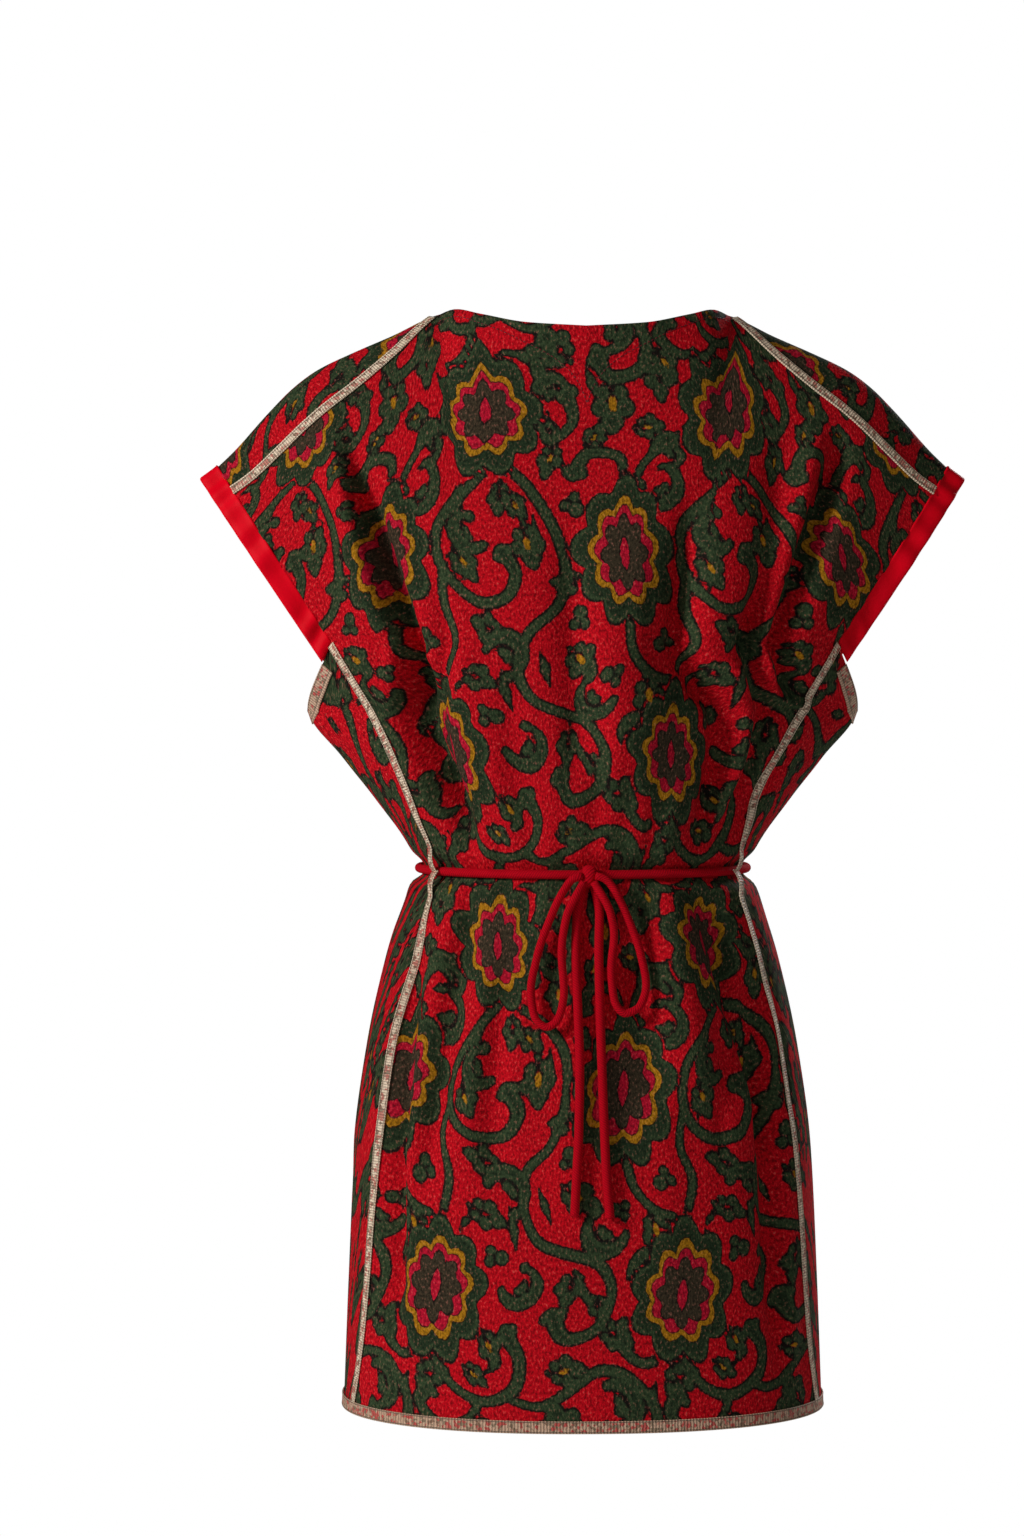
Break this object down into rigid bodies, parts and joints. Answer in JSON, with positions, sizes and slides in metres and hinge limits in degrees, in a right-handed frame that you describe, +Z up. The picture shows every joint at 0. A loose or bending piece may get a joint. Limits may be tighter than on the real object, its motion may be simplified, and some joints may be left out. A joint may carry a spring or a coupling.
{
  "type": "shift dress",
  "caption": "Short sleeveless-style shift dress with deep cuffed armholes, braid over the seams and a cord tied in a bow at the waist",
  "frame": {"origin": "mid-way between the two shoulder neck points, where the dress is held", "axes": "+Z up along the dress, the front faces -Y, +X to the right as the front is seen"},
  "size_m": [0.589, 0.265, 0.8385],
  "materials": {
    "printed_crepe": "matte pebbled crepe, red ground with a dark green scroll print",
    "woven_braid": "narrow woven braid, beige with a faint metallic thread",
    "red_satin": "bright red satin, soft sheen",
    "woven_ribbon": "flat woven ribbon, grey beige with a metallic thread",
    "cord_yarn": "soft red yarn cord, slightly fuzzy"
  },
  "bodies": {
    "root": {"front_panel": "printed_crepe", "back_panel": "printed_crepe", "side_braid_left": "woven_braid", "side_braid_right": "woven_braid", "shoulder_braid_left": "woven_braid", "shoulder_braid_right": "woven_braid", "cuff_left": "red_satin", "cuff_right": "red_satin", "underarm_ribbon_left": "woven_ribbon", "underarm_ribbon_right": "woven_ribbon", "hem_ribbon": "woven_ribbon", "tie_cord_waist": "cord_yarn", "tie_knot": "cord_yarn", "tie_loop_left": "cord_yarn", "tie_loop_right": "cord_yarn", "tie_tail_left": "cord_yarn", "tie_tail_right": "cord_yarn"}
  },
  "joints": []
}
